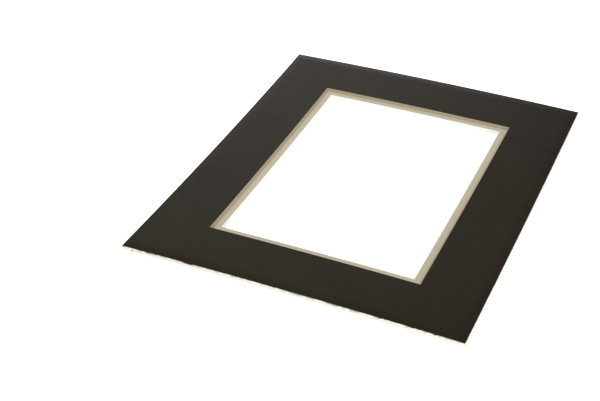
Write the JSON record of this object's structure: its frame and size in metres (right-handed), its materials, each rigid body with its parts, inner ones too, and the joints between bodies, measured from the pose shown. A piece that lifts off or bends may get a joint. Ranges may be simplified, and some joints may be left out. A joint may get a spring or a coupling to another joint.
{
  "type": "double picture mount",
  "caption": "Rectangular double mount of two bonded boards with bevel-cut nested windows, which frames a picture and holds it off the glass.",
  "frame": {"origin": "under the middle of the window, at the height of the lowest point of the back, which is what the mount rests on", "axes": "+X across the width, +Y along the length away from the near short side, +Z out of the mount's face"},
  "size_m": [0.2032, 0.254, 0.0063],
  "materials": {
    "upper_board": "matte",
    "lower_board": "matte",
    "tape": "satin"
  },
  "bodies": {
    "root": {"upper_board": "upper_board", "lower_board": "lower_board", "tape_left": "tape", "tape_right": "tape", "tape_front": "tape", "tape_back": "tape"}
  },
  "joints": []
}
